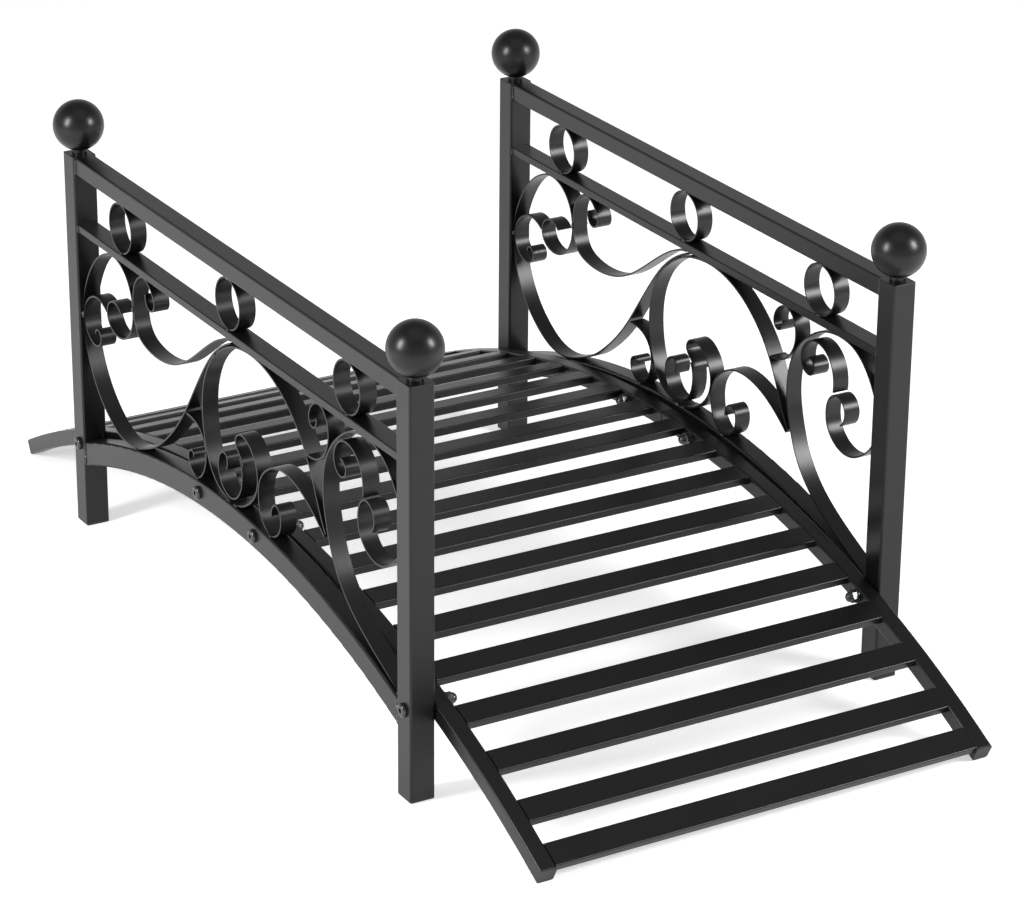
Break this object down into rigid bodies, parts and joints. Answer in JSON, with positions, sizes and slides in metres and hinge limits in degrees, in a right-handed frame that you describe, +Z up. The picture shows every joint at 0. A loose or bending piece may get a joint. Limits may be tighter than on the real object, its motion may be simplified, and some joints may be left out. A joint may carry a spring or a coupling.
{
  "type": "garden bridge",
  "caption": "Small arched garden footbridge of black powder-coated steel, with a slatted deck, scrollwork railings and ball finials on the posts.",
  "frame": {"origin": "on the ground under the middle of the deck, the bottom centre of the bounding box", "axes": "+X along the way over the bridge towards its front end, +Y across the bridge towards the right railing, +Z up"},
  "size_m": [1.3052, 0.6644, 0.5456],
  "materials": {
    "powder_coat": "satin black powder coat, fine even texture",
    "ball_coat": "smooth satin black coat",
    "black_plastic": "matt black moulded plastic",
    "black_zinc": "glossy black zinc plating"
  },
  "bodies": {
    "root": {"arch_rail_left": "powder_coat", "arch_rail_right": "powder_coat", "ball_finial_front_left": "ball_coat", "ball_finial_front_right": "ball_coat", "ball_finial_rear_left": "ball_coat", "ball_finial_rear_right": "ball_coat", "bolts_m8": "black_zinc", "cap_nuts_m8": "black_zinc", "deck_rail_front_left": "powder_coat", "deck_rail_front_right": "powder_coat", "deck_rail_rear_left": "powder_coat", "deck_rail_rear_right": "powder_coat", "deck_slats_front": "powder_coat", "deck_slats_rear": "powder_coat", "end_plug_front_left": "black_plastic", "end_plug_front_right": "black_plastic", "end_plug_rear_left": "black_plastic", "end_plug_rear_right": "black_plastic", "foot_plug_front_left": "black_plastic", "foot_plug_front_right": "black_plastic", "foot_plug_rear_left": "black_plastic", "foot_plug_rear_right": "black_plastic", "mid_rail_left": "powder_coat", "mid_rail_right": "powder_coat", "post_front_left": "powder_coat", "post_front_right": "powder_coat", "post_rear_left": "powder_coat", "post_rear_right": "powder_coat", "ring_front_left": "powder_coat", "ring_front_right": "powder_coat", "ring_middle_left": "powder_coat", "ring_middle_right": "powder_coat", "ring_rear_left": "powder_coat", "ring_rear_right": "powder_coat", "scroll_front_arch_left": "powder_coat", "scroll_front_arch_right": "powder_coat", "scroll_front_branch_left": "powder_coat", "scroll_front_branch_right": "powder_coat", "scroll_high_curl_left": "powder_coat", "scroll_high_curl_right": "powder_coat", "scroll_inner_curl_left": "powder_coat", "scroll_inner_curl_right": "powder_coat", "scroll_long_s_left": "powder_coat", "scroll_long_s_right": "powder_coat", "scroll_low_curl_left": "powder_coat", "scroll_low_curl_right": "powder_coat", "scroll_middle_arch_left": "powder_coat", "scroll_middle_arch_right": "powder_coat", "scroll_post_curl_left": "powder_coat", "scroll_post_curl_right": "powder_coat", "scroll_post_hook_left": "powder_coat", "scroll_post_hook_right": "powder_coat", "scroll_rail_curl_left": "powder_coat", "scroll_rail_curl_right": "powder_coat", "scroll_rear_branch_left": "powder_coat", "scroll_rear_branch_right": "powder_coat", "scroll_wave_left": "powder_coat", "scroll_wave_right": "powder_coat", "top_rail_left": "powder_coat", "top_rail_right": "powder_coat"}
  },
  "joints": []
}
